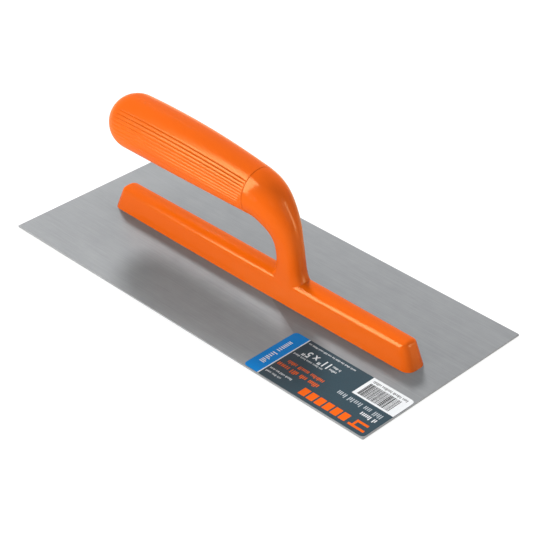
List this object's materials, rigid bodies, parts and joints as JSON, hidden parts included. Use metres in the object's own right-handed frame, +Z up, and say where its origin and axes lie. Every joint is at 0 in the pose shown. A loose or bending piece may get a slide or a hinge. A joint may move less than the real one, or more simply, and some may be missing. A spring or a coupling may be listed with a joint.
{
  "type": "finishing trowel",
  "caption": "Rectangular steel finishing trowel blade with a moulded plastic rail, a curved shank and a ribbed round grip above the blade.",
  "frame": {"origin": "centre of the blade's working face, which is the bottom centre of the whole tool", "axes": "+X along the blade towards the toe (the end the shank leans to), +Y across the blade, +Z up from the blade to the grip"},
  "size_m": [0.275, 0.125, 0.0787],
  "materials": {
    "blade_steel": "fine ground satin",
    "stud_steel": "plain turned",
    "handle_plastic": "moulded gloss",
    "grip_plastic": "moulded gloss with fine ribs",
    "label_film": "printed satin film"
  },
  "bodies": {
    "root": {"blade": "blade_steel", "blade_studs": "stud_steel", "handle_body": "handle_plastic", "grip_sleeve": "grip_plastic", "label": "label_film"}
  },
  "joints": []
}
